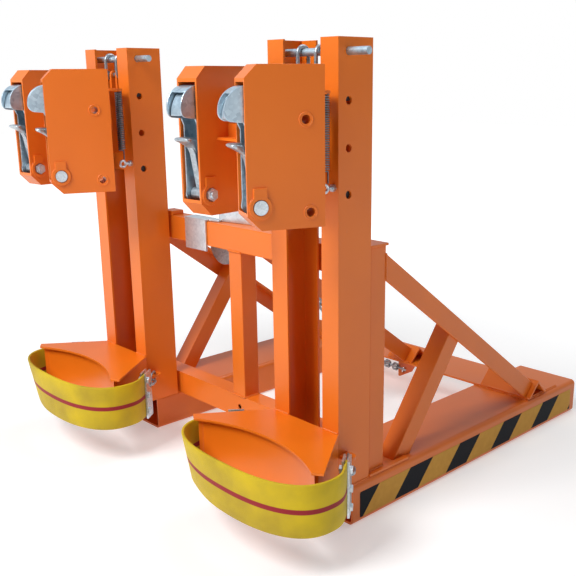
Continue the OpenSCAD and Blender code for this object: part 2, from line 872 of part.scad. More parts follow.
// turned about the swivel pin with the whole head
module at_head(side) {
  color_place(side) translate([0, swivel_y, 0]) rotate([0, 0, -head_turn])
    translate([0, -swivel_y, 0]) children();
}

module casing_outline() {
  polygon([[0, casing_low], [0, casing_top], [-casing_len + chamfer_top, casing_top],
    [-casing_len, casing_top - chamfer_top], [-casing_len, casing_low + chamfer_bottom],
    [-casing_len + chamfer_bottom, casing_low]]);
}

module casing_hollow() {
  t = casing_t;
  m = t * tan(22.5);
  s = t * sqrt(2);
  polygon([[1, casing_low + t], [1, casing_top - t], [-casing_len + chamfer_top + m, casing_top - t],
    [-casing_len, casing_top - chamfer_top - s], [-casing_len - 1, casing_top - chamfer_top - s],
    [-casing_len - 1, casing_low + chamfer_bottom + s], [-casing_len, casing_low + chamfer_bottom + s],
    [-casing_len + chamfer_bottom + m, casing_low + t]]);
}

module tube_spots() {
  translate([0, -tube_high_y, casing_top - tube_high]) children();
  translate([0, -tube_low_y, casing_top - tube_low]) children();
}

// welded ring with its tab, round a bolt head or nut
module lock_ring(x) {
  t = 4;
  translate([x, -pivot_y, pivot_z]) difference() {
    union() {
      x_cylinder(lock_ring_d, t);
      translate([-t / 2, -13, 14]) cube([t, 26, 22]);
    }
    x_cylinder(bolt_head_d + 2, 3 * t);
  }
}

module casing() {
  difference() {
    union() {
      difference() {
        along_x(casing_w) casing_outline();
        along_x(casing_in) casing_hollow();
      }
      tube_spots() x_cylinder(cross_tube_d, casing_w + 2);
      for (s = [-1, 1]) lock_ring(s * (casing_w / 2 + 2));
    }
    tube_spots() x_cylinder(cross_tube_bore, 2 * casing_w);
    translate([0, -pivot_y, pivot_z]) x_cylinder(pivot_bore, 2 * casing_w);
  }
}

module unit_casing(side, hand) {
  color(orange) at_unit(side, hand) casing();
}

// outline of a hook's side: pivot eye, arm and rounded nose
module hook_outline() {
  z0 = pivot_z;
  top = z0 + nose_up;
  low = top - nose_h;
  r = 44;
  difference() {
    union() {
      translate([-pivot_y, z0]) circle(22);
      polygon([[-arm_back, z0], [-arm_back, top - 8], [-arm_back - 8, top], [-nose_y + r, top],
        [-nose_y, top - r], [-nose_y, low], [-arm_front - 2, low - 6],
        [-arm_front, z0 + 40], [-pivot_y - 22, z0]]);
      intersection() {
        translate([-nose_y + r, top - r]) circle(r);
        translate([-nose_y, top - r]) square([r, r]);
      }
    }
  }
}

// same outline less a margin at the top, front and back: the space between the cheeks
module hook_inside() {
  z0 = pivot_z;
  t = hook_sheet;
  top = z0 + nose_up;
  low = top - nose_h;
  polygon([[-arm_back - t, z0 - 30], [-arm_back - t, top - 8 - t], [-arm_back - 8, top - t],
    [-nose_y + 40, top - t], [-nose_y + 18, top - 14], [-nose_y - 5, top - 26],
    [-nose_y - 5, low + t], [-arm_front - 2, low - 6 + t], [-arm_front - 2, low - 20],
    [-arm_front - 30, z0 - 30]]);
}

// curved inner plate of the nose
module hook_tongue() {
  top = pivot_z + nose_up;
  r = 62;
  intersection() {
    translate([-nose_y + r + 5, top - nose_h + 4]) difference() {
      circle(r, $fn = 96);
      circle(r - hook_sheet, $fn = 96);
    }
    translate([-nose_y + 3, top - nose_h + 1]) square([40, nose_h - hook_sheet - 8]);
  }
}

module hook() {
  inner_w = hook_body_w - 2 * hook_sheet;
  difference() {
    union() {
      difference() {
        along_x(hook_body_w) hook_outline();
        along_x(inner_w) hook_inside();
      }
      along_x(inner_w - 6) hook_tongue();
    }
    translate([0, -pivot_y, pivot_z]) x_cylinder(pivot_bore, 2 * hook_body_w);
    translate([0, -pivot_y, pivot_z]) x_cylinder(2 * 23, inner_w);
  }
}

module unit_hook(side, hand) {
  color(zinc) at_unit(side, hand) hook();
}

// jaw: eye on the pivot, bar leaning forward and a tee lip
module jaw() {
  z0 = pivot_z;
  top = z0 + lip_up;
  lip_y = pivot_y + lip_reach;
  difference() {
    union() {
      translate([0, -pivot_y, z0]) x_cylinder(eye_d, eye_w);
      along_x(jaw_bar_w) polygon([[-pivot_y + 6, z0], [-pivot_y - 5, z0],
        [-pivot_y - 18, top - 34], [-pivot_y - 28, top - 12], [-pivot_y - 28, top - 2],
        [-pivot_y - 20, top - 2], [-pivot_y - 10, top - 36]]);
      along_x(lip_w) polygon([[-pivot_y - 26, top - 9], [-pivot_y - 26, top],
        [-lip_y + 3, top], [-lip_y, top - 2], [-lip_y + 6, top - 5]]);
    }
    translate([0, -pivot_y, z0]) x_cylinder(pivot_bore, 2 * eye_w);
  }
}

module unit_jaw(side, hand) {
  color(zinc) at_unit(side, hand) jaw();
}

module pivot_bolts(side) {
  head_t = 6;
  nut_t = 10;
  bolt_end = 4;
  color(zinc) for (hand = [left, right]) at_unit(side, hand)
    translate([0, -pivot_y, pivot_z]) {
      translate([casing_w / 2, 0, 0]) rotate([0, 90, 0]) cylinder(d = bolt_head_d, h = head_t);
      x_cylinder(pivot_d, casing_w + eps);
      translate([-casing_w / 2 - nut_t, 0, 0]) rotate([0, 90, 0]) hex_prism(nut_flats, nut_t);
      translate([-casing_w / 2 - nut_t - bolt_end, 0, 0]) rotate([0, 90, 0])
        cylinder(d = pivot_d, h = bolt_end + 1);
    }
  color(zinc) at_head(side) translate([0, swivel_y, 0]) swivel_pin();
}

// upright pin that joins a head to its carriage
module swivel_pin() {
  translate([0, 0, swivel_low - swivel_nut_t]) cylinder(d = swivel_d, h = swivel_top - swivel_low + swivel_nut_t);
  translate([0, 0, swivel_top]) cylinder(d = swivel_head_d, h = swivel_head_t);
  translate([0, 0, swivel_low - swivel_nut_t]) hex_prism(swivel_nut, swivel_nut_t);
}

// carriages

module swivel_bore() {
  translate([0, swivel_y, plate_low]) cylinder(d = swivel_d + 2 * swivel_fit, h = front_plate_h);
}

// back plate in the column, with a barrel held out in front by two necks
module carriage(side) {
  w = 2 * shoe_x - 4;
  arm_z = carriage_top - 28 + spring_wire;
  arm_d = 16;
  barrel_low = swivel_z - barrel_h / 2;
  color(orange) color_place(side) {
    translate([-w / 2, carriage_y0, carriage_low]) cube([w, carriage_t, carriage_h]);
    for (s = [-1, 1]) translate([s * neck_x - neck_t / 2, neck_y, barrel_low])
      cube([neck_t, carriage_y0 - neck_y + 2, arm_z - barrel_low + 1]);
    difference() {
      union() {
        translate([0, swivel_y, barrel_low]) cylinder(d = barrel_d, h = barrel_h);
        for (s = [-1, 1]) translate([s * neck_x - neck_t / 2, swivel_y + neck_t / 2, barrel_low])
          cube([neck_t, neck_y - swivel_y, barrel_h]);
      }
      swivel_bore();
    }
    // lugs for the hanger bolt
    for (s = [-1, 1]) difference() {
      union() {
        translate([s * lug_x, height_hole_y, hanger_bolt_z]) x_cylinder(2 * lug_r, lug_w);
        translate([s * lug_x - lug_w / 2, height_hole_y - lug_r, carriage_top - 20])
          cube([lug_w, 2 * lug_r + 6, hanger_bolt_z - carriage_top + 20]);
      }
      translate([s * lug_x, height_hole_y, hanger_bolt_z]) x_cylinder(hanger_bolt_d + 0.2, 3 * lug_w);
    }
    // arm that holds the return spring's upper end
    translate([-neck_x - neck_t / 2, spring_y - arm_d / 2, arm_z])
      cube([neck_x + neck_t / 2 + spring_x + arm_d / 2, arm_d, bracket_t]);
    translate([-neck_x - neck_t / 2, spring_y, arm_z])
      cube([2 * neck_x + neck_t, -spring_y + arm_d, bracket_t]);
  }
}

// plate between the two units, with a knuckle above and below the barrel
module swivel_plate() {
  inner_x = unit_half - casing_w / 2 * cos(splay);
  y1 = rear_y + casing_w / 2 * sin(splay) - 3;
  y2 = y1 - front_plate_t;
  x1 = inner_x - 3 * tan(splay);
  x2 = x1 - front_plate_t * tan(splay);
  web = 30;
  translate([0, 0, plate_low]) linear_extrude(front_plate_h)
    polygon([[-x1, y1], [x1, y1], [x2, y2], [-x2, y2]]);
  difference() {
    for (z = [swivel_low, swivel_top - knuckle_h]) {
      translate([0, swivel_y, z]) cylinder(d = barrel_d, h = knuckle_h);
      translate([-web / 2, y1 - 1, z]) cube([web, swivel_y - y1 + 1, knuckle_h]);
    }
    swivel_bore();
  }
}

module guide_shoes(side) {
  color(dark) color_place(side) for (s = [-1, 1], z = [carriage_low, carriage_top - shoe_h])
    translate([s > 0 ? shoe_x - shoe_w : -shoe_x, shoe_front, z])
      difference() {
        cube([shoe_w, shoe_back - shoe_front, shoe_h]);
        translate([s > 0 ? -1 : 2, carriage_y0 - shoe_front, -1])
          cube([shoe_w - 1, carriage_t, shoe_h + 2]);
      }
}

// galvanised plate that ties the two units at their rear tops
module head_bridge(side) {
  t = 6;
  h = 40;
  y1 = rear_y - 16;
  x1 = unit_half - casing_w / 2 * cos(splay) + (y1 - rear_y - casing_w / 2 * sin(splay)) * tan(splay);
  x2 = x1 - t * tan(splay);
  color(zinc) at_head(side) translate([0, 0, casing_top - 4 - h]) linear_extrude(h)
    polygon([[-x1, y1], [x1, y1], [x2, y1 - t], [-x2, y1 - t]]);
}

// angle between the two units, and the swivel plate below it
module head_shelf(side) {
  t = 5;
  leg = 36;
  up = 32;
  y1 = rear_y - 60;
  z = casing_top - 146;
  k = tan(splay);
  x0 = unit_half - casing_w / 2 * cos(splay) + (y1 - rear_y - casing_w / 2 * sin(splay)) * k;
  color(orange) at_head(side) {
    swivel_plate();
    translate([0, 0, z]) linear_extrude(t)
      polygon([[-x0, y1], [x0, y1], [x0 - leg * k, y1 - leg], [-x0 + leg * k, y1 - leg]]);
    translate([0, 0, z]) linear_extrude(up)
      polygon([[-x0, y1], [x0, y1], [x0 - t * k, y1 - t], [-x0 + t * k, y1 - t]]);
  }
}

module hanger(side) {
  color(zinc) color_place(side) {
    for (s = [-1, 1]) translate([s * 27, height_hole_y, hanger_low + hanger_len / 2])
      rotate([0, 0, 90]) oval_link(hanger_wire, hanger_len, hanger_in_w);
    translate([0, height_hole_y, hanger_bolt_z]) {
      x_cylinder(hanger_bolt_d, 84);
      translate([-42 - 8, 0, 0]) rotate([0, 90, 0]) hex_prism(hanger_bolt_d * 1.6, 8);
      translate([42, 0, 0]) rotate([0, 90, 0]) hex_prism(hanger_bolt_d * 1.6, 8);
    }
  }
}

// adjusting pin through both webs, with its ring clip on the left
module adjusting_pin(side) {
  x0 = -col_half - pin_in;
  x1 = col_half + pin_out;
  cx = -col_half - clip_x;
  color(zinc) color_place(side) translate([0, height_hole_y, pin_z]) {
    difference() {
      translate([x0, 0, 0]) rotate([0, 90, 0]) rotate([0, 0, 45]) cylinder(d = pin_d, h = x1 - x0);
      translate([cx, 0, 0]) cylinder(d = clip_hole, h = 2 * pin_d, center = true);
      translate([x1 - 12, 0, 0]) cylinder(d = clip_hole, h = 2 * pin_d, center = true);
    }
    translate([cx, 0, -12]) cylinder(d = clip_stem, h = 24);
    translate([cx, 0, pin_d / 2 + 0.3]) cylinder(d = 9, h = 6);
    translate([cx, 0, -7]) rotate([0, 90, 0]) rotate_extrude() translate([clip_ring, 0])
      circle(d = clip_wire);
  }
}

// return springs

// centre line of the wire: straight tail, curls, straight top
spring_steps = 8;
function curl_point(a) = [spring_r * cos(a), spring_r * sin(a)];
function spring_points() = concat(
  [[spring_r, 0, -spring_tail], [spring_r, 0, -spring_tail + 12], [spring_r, 0, -3]],
  [for (i = [0 : spring_steps * spring_curls]) let (a = i * 360 / spring_steps)
    [spring_r * cos(a), spring_r * sin(a), i * spring_pitch / spring_steps]],
  [[spring_r, 0, spring_body + 3], [spring_r, 0, spring_body + spring_wire]]);

// least gap between two stretches of the wire half a curl or more apart
function spring_gap(p) = min([for (i = [0 : len(p) - 1], j = [i + spring_steps / 2 : 1 : len(p) - 1])
  norm(p[j] - p[i])]) - spring_wire;
echo(least_spring_gap = spring_gap(spring_points()));

function ring_frame(t, ref) = let (n = unit(cross(ref, t))) [n, cross(t, n)];

module swept_wire(p, d, sides) {
  n = len(p);
  dirs = [for (i = [0 : n - 1]) unit(p[min(i + 1, n - 1)] - p[max(i - 1, 0)])];
  pts = [for (i = [0 : n - 1]) let (a = p[i], rad = unit([a[0], a[1], 0.0001]), f = ring_frame(dirs[i], rad))
    for (k = [0 : sides - 1]) a + d / 2 * (cos(k * 360 / sides) * f[0] + sin(k * 360 / sides) * f[1])];
  side_faces = [for (i = [0 : n - 2], k = [0 : sides - 1]) let (k2 = (k + 1) % sides)
    each [[i * sides + k, i * sides + k2, (i + 1) * sides + k],
      [i * sides + k2, (i + 1) * sides + k2, (i + 1) * sides + k]]];
  ends = concat([for (k = [1 : sides - 2]) [0, k + 1, k]],
    [for (k = [1 : sides - 2]) [(n - 1) * sides, (n - 1) * sides + k, (n - 1) * sides + k + 1]]);
  polyhedron(points = pts, faces = concat(side_faces, ends), convexity = 10);
}

module return_spring(side) {
  color(dark) color_place(side) translate([spring_x, spring_y, spring_low])
    swept_wire(spring_points(), spring_wire, 6);
}

// the nodes

fork_sleeve(right);  // right_fork_sleeve
fork_sleeve(left);  // left_fork_sleeve
column_channel(right, 1);  // right_outer_channel
column_channel(right, -1);  // right_inner_channel
column_channel(left, -1);  // left_outer_channel
column_channel(left, 1);  // left_inner_channel
rear_posts();
post_caps();
foot_plates();
centre_post();
upper_crossbeam();
lower_crossbeam();
side_brace(right);  // right_brace
side_brace(left);  // left_brace
centre_brace();
brace_struts();
brace_feet();
rear_cross_plate();
chain_lug();
safety_chain();
round_plate();
carriage_hook();
cradle(right);  // right_cradle
cradle(left);  // left_cradle
belt(right);  // right_belt
belt(left);  // left_belt
belt_clamp_bars();
belt_clamp_bolts();
belt_links();
belt_lugs();
spring_anchors();
carriage(right);  // right_carriage
guide_shoes(right);  // right_guide_shoes
head_bridge(right);  // right_head_bridge
head_shelf(right);  // right_head_shelf
unit_casing(right, right);  // right_outer_casing
unit_casing(right, left);  // right_inner_casing
unit_hook(right, right);  // right_outer_hook
unit_hook(right, left);  // right_inner_hook
unit_jaw(right, right);  // right_outer_jaw
unit_jaw(right, left);  // right_inner_jaw
pivot_bolts(right);  // right_pivot_bolts
hanger(right);  // right_hanger
return_spring(right);  // right_return_spring
adjusting_pin(right);  // right_adjusting_pin
carriage(left);  // left_carriage
guide_shoes(left);  // left_guide_shoes
head_bridge(left);  // left_head_bridge
head_shelf(left);  // left_head_shelf
unit_casing(left, left);  // left_outer_casing
unit_casing(left, right);  // left_inner_casing
unit_hook(left, left);  // left_outer_hook
unit_hook(left, right);  // left_inner_hook
unit_jaw(left, left);  // left_outer_jaw
unit_jaw(left, right);  // left_inner_jaw
pivot_bolts(left);  // left_pivot_bolts
hanger(left);  // left_hanger
return_spring(left);  // left_return_spring
adjusting_pin(left);  // left_adjusting_pin
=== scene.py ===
import math

import bmesh
import bpy
from mathutils import Matrix, Vector


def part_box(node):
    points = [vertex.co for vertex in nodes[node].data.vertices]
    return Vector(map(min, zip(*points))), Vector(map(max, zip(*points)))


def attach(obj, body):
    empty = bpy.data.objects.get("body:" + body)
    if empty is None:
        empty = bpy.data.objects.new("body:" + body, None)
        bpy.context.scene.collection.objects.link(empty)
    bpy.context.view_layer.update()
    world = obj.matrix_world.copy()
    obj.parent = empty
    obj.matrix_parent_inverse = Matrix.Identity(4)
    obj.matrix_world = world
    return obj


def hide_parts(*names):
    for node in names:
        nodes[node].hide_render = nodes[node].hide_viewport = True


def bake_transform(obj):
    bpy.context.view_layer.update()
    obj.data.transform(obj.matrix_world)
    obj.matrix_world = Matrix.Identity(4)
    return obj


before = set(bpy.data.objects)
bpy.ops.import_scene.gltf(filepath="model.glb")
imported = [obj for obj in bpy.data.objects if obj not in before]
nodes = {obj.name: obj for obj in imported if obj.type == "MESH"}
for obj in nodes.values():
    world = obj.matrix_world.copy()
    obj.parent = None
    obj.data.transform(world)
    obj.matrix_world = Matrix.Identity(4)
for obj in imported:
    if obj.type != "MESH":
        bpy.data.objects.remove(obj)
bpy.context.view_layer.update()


# Camera and studio
# The clamp was photographed from its front right corner, a little above the heads,
# on white paper. Most of its light falls from high in front, and some from behind.
camera_at = Vector((1.6743, -1.58385, 0.9917))
azimuth = math.radians(45.913)
elevation = math.radians(15.424)
roll = math.radians(-0.371)
back = Vector((math.sin(azimuth) * math.cos(elevation),
               -math.cos(azimuth) * math.cos(elevation), math.sin(elevation)))
level = Vector((math.cos(azimuth), math.sin(azimuth), 0))
upright = back.cross(level)
camera_right = level * math.cos(roll) + upright * math.sin(roll)
camera_up = upright * math.cos(roll) - level * math.sin(roll)


def set_down(name, data):
    piece = bpy.data.objects.new(name, data)
    bpy.context.collection.objects.link(piece)
    return piece


camera_data = bpy.data.cameras.new("camera")
camera_data.sensor_width = 36
camera_data.lens = 52.31
camera_data.shift_x = -0.0530
camera_data.shift_y = 0.0366
camera = set_down("camera", camera_data)
camera.matrix_world = Matrix((
    (camera_right.x, camera_up.x, back.x, camera_at.x),
    (camera_right.y, camera_up.y, back.y, camera_at.y),
    (camera_right.z, camera_up.z, back.z, camera_at.z),
    (0, 0, 0, 1)))
bpy.context.scene.camera = camera


def add(tree, kind, values=None, **settings):
    node = tree.nodes.new(kind)
    for setting, value in settings.items():
        setattr(node, setting, value)
    for socket, value in (values or {}).items():
        node.inputs[socket].default_value = value
    return node


def start_finish(name, values):
    material = bpy.data.materials.new(name)
    material.use_nodes = True
    tree = material.node_tree
    shader = tree.nodes["Principled BSDF"]
    for socket, value in values.items():
        shader.inputs[socket].default_value = value
    return material, tree, shader, add(tree, "ShaderNodeTexCoord")


def studio_paper():
    glow_starts = 0.9
    glow_full = 3.2
    material, tree, shader, place = start_finish("studio_paper", {
        "Base Color": (0.72, 0.72, 0.72, 1), "Roughness": 0.9, "Emission Color": (1, 1, 1, 1)})
    reach = add(tree, "ShaderNodeVectorMath", operation="LENGTH")
    glow = add(tree, "ShaderNodeMapRange", {"From Min": glow_starts, "From Max": glow_full,
                                            "To Min": 0.37, "To Max": 1.0})
    tree.links.new(place.outputs["Object"], reach.inputs[0])
    tree.links.new(reach.outputs["Value"], glow.inputs["Value"])
    tree.links.new(glow.outputs["Result"], shader.inputs["Emission Strength"])
    return material


floor_half = 14
floor_mesh = bpy.data.meshes.new("studio_floor")
floor_mesh.from_pydata([(-floor_half, -floor_half, 0), (floor_half, -floor_half, 0),
                        (floor_half, floor_half, 0), (-floor_half, floor_half, 0)],
                       [], [(0, 1, 2, 3)])
floor = set_down("studio_floor", floor_mesh)
floor_mesh.materials.append(studio_paper())


def ramp(tree, *stops):
    node = tree.nodes.new("ShaderNodeValToRGB")
    for element, (position, colour) in zip(node.color_ramp.elements, stops):
        element.position = position
        element.color = (*colour, 1)
    return node


def studio_room():
    room = bpy.data.worlds.new("studio")
    room.use_nodes = True
    tree = room.node_tree
    join = tree.links.new
    sky = tree.nodes["Background"]
    paths = add(tree, "ShaderNodeLightPath")
    seen = add(tree, "ShaderNodeMath", operation="MAXIMUM")
    amount = add(tree, "ShaderNodeMapRange", {"To Min": 0.07, "To Max": 1.0})
    where = add(tree, "ShaderNodeTexCoord")
    height = add(tree, "ShaderNodeSeparateXYZ")
    fade = ramp(tree, (0.0, (0.42, 0.42, 0.43)), (0.75, (0.80, 0.90, 1.0)))
    white = add(tree, "ShaderNodeMix", {"B": (1, 1, 1, 1)}, data_type="RGBA")
    join(paths.outputs["Is Camera Ray"], seen.inputs[0])
    join(paths.outputs["Is Glossy Ray"], seen.inputs[1])
    join(seen.outputs[0], amount.inputs["Value"])
    join(amount.outputs["Result"], sky.inputs["Strength"])
    join(where.outputs["Generated"], height.inputs["Vector"])
    join(height.outputs["Z"], fade.inputs["Fac"])
    join(fade.outputs["Color"], white.inputs["A"])
    join(paths.outputs["Is Camera Ray"], white.inputs["Factor"])
    join(white.outputs["Result"], sky.inputs["Color"])
    return room


bpy.context.scene.world = studio_room()
bpy.context.scene.view_settings.view_transform = "Standard"

lit_point = Vector((0, 0, 0.5))
for name, stand, size, power in (
        ("front_softbox", Vector((0.0, -3.0, 3.3)), 1.8, 160),
        ("top_softbox", Vector((0.5, 1.4, 3.6)), 2.4, 52),
        ("left_fill", Vector((-3.2, -1.6, 1.2)), 2.0, 10)):
    lamp = bpy.data.lights.new(name, "AREA")
    lamp.size = size
    lamp.energy = power
    softbox = set_down(name, lamp)
    softbox.location = stand
    softbox.rotation_euler = (lit_point - stand).to_track_quat("-Z", "Y").to_euler()


# Columns
# Four folded steel channels, 6 mm thick, stand in pairs and leave a slot between them.
# They are sprayed in a glossy orange two-pack paint, like every welded part here.
def painted_steel(name, colour, shade, wear):
    undercoat = (0.62, 0.22, 0.09, 1)
    material, tree, shader, place = start_finish(name, {
        "Coat Weight": 0.08, "Coat Roughness": 0.16, "Specular IOR Level": 0.32})
    join = tree.links.new
    clouds = add(tree, "ShaderNodeTexNoise", {"Scale": 5, "Detail": 4})
    tone = ramp(tree, (0.32, shade), (0.68, colour))
    scuffs = add(tree, "ShaderNodeTexNoise", {"Scale": 34, "Detail": 8, "Roughness": 0.75})
    worn = ramp(tree, (0.66, (0, 0, 0)), (0.74, (wear, wear, wear)))
    mix = add(tree, "ShaderNodeMix", {"B": undercoat}, data_type="RGBA")
    rough = add(tree, "ShaderNodeMapRange", {"To Min": 0.27, "To Max": 0.42})
    peel = add(tree, "ShaderNodeTexNoise", {"Scale": 260, "Detail": 2})
    bump = add(tree, "ShaderNodeBump", {"Strength": 0.10, "Distance": 0.0006})
    for texture in (clouds, scuffs, peel):
        join(place.outputs["Object"], texture.inputs["Vector"])
    join(clouds.outputs["Fac"], tone.inputs["Fac"])
    join(scuffs.outputs["Fac"], worn.inputs["Fac"])
    join(worn.outputs["Color"], mix.inputs["Factor"])
    join(tone.outputs["Color"], mix.inputs["A"])
    join(mix.outputs["Result"], shader.inputs["Base Color"])
    join(clouds.outputs["Fac"], rough.inputs["Value"])
    join(rough.outputs["Result"], shader.inputs["Roughness"])
    join(peel.outputs["Fac"], bump.inputs["Height"])
    join(bump.outputs["Normal"], shader.inputs["Normal"])
    return material


def finish(material, *names):
    for name in names:
        mesh = nodes[name].data
        mesh.materials.clear()
        mesh.materials.append(material)


def soften(piece, width, sharp):
    bevel = piece.modifiers.new("edges", "BEVEL")
    bevel.width = width
    bevel.segments = 2
    bevel.limit_method = "ANGLE"
    bevel.angle_limit = math.radians(sharp)


def round_edges(width, *names):
    same_point = 0.00002
    flat_turn = math.radians(1)
    sharp_turn = 42
    for name in names:
        weld = nodes[name].modifiers.new("weld", "WELD")
        weld.merge_threshold = same_point
        merge = nodes[name].modifiers.new("flats", "DECIMATE")
        merge.decimate_type = "DISSOLVE"
        merge.angle_limit = flat_turn
        soften(nodes[name], width, sharp_turn)
        shade = nodes[name].modifiers.new("flat_shading", "WEIGHTED_NORMAL")
        shade.keep_sharp = True


sides = {"right": 1, "left": -1}
hands = ("outer", "inner")
columns = [f"{side}_{hand}_channel" for side in sides for hand in hands]
column_paint = painted_steel("column_paint", (0.80, 0.178, 0.010), (0.75, 0.160, 0.010), 0.25)
finish(column_paint, *columns)
round_edges(0.0012, *columns)


# Fork sleeves
# Two rolled box tubes, 200 by 100 mm, slide over the truck's forks and carry the rest.
# Their tops are scuffed from being stood on, so their paint shows more wear.
sleeve_paint = painted_steel("sleeve_paint", (0.76, 0.175, 0.020), (0.70, 0.155, 0.018), 0.45)
finish(sleeve_paint, "right_fork_sleeve", "left_fork_sleeve")


# Hazard tape
# A strip of black and yellow warning tape is stuck along the outside of the right sleeve.
# The printed stripes lean back at about 42 degrees and repeat every 200 mm.
def calc(tree, operation, *terms):
    node = add(tree, "ShaderNodeMath", operation=operation)
    for socket, term in zip(node.inputs, terms):
        if isinstance(term, bpy.types.NodeSocket):
            tree.links.new(term, socket)
        else:
            socket.default_value = term
    return node.outputs[0]


def stripes():
    repeat = 0.2
    black_run = 0.088
    lean = 0.90
    start = 1.2007
    material, tree, shader, place = start_finish("hazard_tape", {
        "Roughness": 0.6, "Specular IOR Level": 0.12})
    join = tree.links.new
    split = add(tree, "ShaderNodeSeparateXYZ")
    join(place.outputs["Object"], split.inputs["Vector"])
    slanted = calc(tree, "MULTIPLY_ADD", split.outputs["Z"], -lean, split.outputs["Y"])
    along = calc(tree, "MODULO", calc(tree, "ADD", slanted, start), repeat)
    black = calc(tree, "LESS_THAN", along, black_run)
    grain = add(tree, "ShaderNodeTexNoise", {"Scale": 60})
    tone = ramp(tree, (0, (0.56, 0.28, 0.045)), (1, (0.68, 0.36, 0.065)))
    mix = add(tree, "ShaderNodeMix", {"B": (0.006, 0.007, 0.010, 1)}, data_type="RGBA")
    join(place.outputs["Object"], grain.inputs["Vector"])
    join(grain.outputs["Fac"], tone.inputs["Fac"])
    join(tone.outputs["Color"], mix.inputs["A"])
    join(black, mix.inputs["Factor"])
    join(mix.outputs["Result"], shader.inputs["Base Color"])
    return material


def cut_tape(name, x, thick, y0, y1, z0, z1, radius):
    corner_steps = 6
    ring = []
    for y, z, turn in ((y1 - radius, z1 - radius, 0), (y0 + radius, z1 - radius, 90),
                       (y0 + radius, z0 + radius, 180), (y1 - radius, z0 + radius, 270)):
        for i in range(corner_steps + 1):
            a = math.radians(turn + 90 * i / corner_steps)
            ring.append((y + radius * math.cos(a), z + radius * math.sin(a)))
    build = bmesh.new()
    inner = [build.verts.new((x, y, z)) for y, z in ring]
    outer = [build.verts.new((x + thick, y, z)) for y, z in ring]
    build.faces.new(outer)
    build.faces.new(list(reversed(inner)))
    for i in range(len(ring)):
        j = (i + 1) % len(ring)
        build.faces.new((inner[i], inner[j], outer[j], outer[i]))
    bmesh.ops.recalc_face_normals(build, faces=build.faces)
    mesh = bpy.data.meshes.new(name)
    build.to_mesh(mesh)
    build.free()
    return set_down(name, mesh)


tape_thick = 0.0004
tape_foot = 0.013
tape_top = 0.077
tape_corner = 0.003
sleeve_low, sleeve_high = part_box("right_fork_sleeve")
tape_front = sleeve_low.y + 0.023
tape_rear = sleeve_high.y - 0.022
tape = cut_tape("right_hazard_tape", sleeve_high.x, tape_thick, tape_front, tape_rear,
                tape_foot, tape_top, tape_corner)
tape.data.materials.append(stripes())
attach(tape, "frame")


# Rear frame
# Square tubes make the capped posts and the crossbeams. Three angle-iron braces with
# struts and angle feet run down to a flat plate across the sleeves, all welded together.
frame_paint = painted_steel("frame_paint", (0.78, 0.172, 0.012), (0.72, 0.155, 0.011), 0.35)
rolled = ["rear_posts", "centre_post", "upper_crossbeam", "lower_crossbeam",
          "right_brace", "left_brace", "centre_brace", "brace_struts"]
cut = ["post_caps", "brace_feet", "rear_cross_plate", "chain_lug", "belt_lugs"]
finish(frame_paint, *rolled, *cut, "foot_plates")
round_edges(0.002, *rolled)
round_edges(0.001, *cut)


# Safety chain and carriage strap
# Zinc plating covers the welded chain, the strap bent over the beam and the
# round plate behind it. The zinc's crystals show in the plating. The strap's zinc is
# bright; the chain, the belt links, the round plate and the hangers get a darker copy
# of it, which is painted shade.
def zinc_plating(name, light, dark, rough, scale):
    material, tree, shader, place = start_finish(name, {"Metallic": 0.85})
    join = tree.links.new
    cells = add(tree, "ShaderNodeTexVoronoi", {"Scale": scale})
    clouds = add(tree, "ShaderNodeTexNoise", {"Scale": 22, "Detail": 6})
    both = add(tree, "ShaderNodeMix", {"Factor": 0.35})
    tone = ramp(tree, (0.25, dark), (0.75, light))
    gloss = add(tree, "ShaderNodeMapRange", {"To Min": rough + 0.10, "To Max": rough - 0.06})
    bump = add(tree, "ShaderNodeBump", {"Strength": 0.12, "Distance": 0.0005})
    for texture in (cells, clouds):
        join(place.outputs["Object"], texture.inputs["Vector"])
    join(clouds.outputs["Fac"], both.inputs["A"])
    join(cells.outputs["Color"], both.inputs["B"])
    join(both.outputs["Result"], tone.inputs["Fac"])
    join(both.outputs["Result"], gloss.inputs["Value"])
    join(tone.outputs["Color"], shader.inputs["Base Color"])
    join(gloss.outputs["Result"], shader.inputs["Roughness"])
    join(clouds.outputs["Fac"], bump.inputs["Height"])
    join(bump.outputs["Normal"], shader.inputs["Normal"])
    return material


# A darker copy of the zinc, which is painted shade.
shaded_zinc = zinc_plating("shaded_zinc", (0.46, 0.49, 0.52), (0.20, 0.22, 0.24), 0.34, 220)
strap_zinc = zinc_plating("strap_zinc", (0.74, 0.79, 0.82), (0.52, 0.56, 0.60), 0.36, 160)
finish(shaded_zinc, "safety_chain", "belt_links", "round_plate")
finish(strap_zinc, "carriage_hook")
round_edges(0.0015, "carriage_hook")


# Drum cradles
# Each cradle is a top plate cut to a drum's curve with a bent wall below it.
# Their paint is a lighter copy of the frame's orange, which is painted light.
# A lighter copy of the orange paint, which is painted light on the cradles.
lit_cradle_paint = painted_steel("lit_cradle_paint", (0.86, 0.190, 0.009), (0.80, 0.170, 0.008), 0.25)
finish(lit_cradle_paint, "right_cradle", "left_cradle")
round_edges(0.0012, "right_cradle", "left_cradle")


# Drum belts
# A belt of heavy yellow webbing with a red stripe woven along its middle goes round the
# drum's foot. Its ends are gripped between zinc bars with three bolts.
belt_half = 0.222
belt_bulge = 0.116
belt_square = 2.6
belt_bend = math.radians(37)
belt_bend_radius = 0.070
belt_straight = 0.042
belt_thick = 0.007
belt_hem = 0.0028
belt_low, belt_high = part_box("right_belt")
belt_width = belt_high.z - belt_low.z
belt_widest = belt_low.y + belt_thick / 2 + belt_bulge


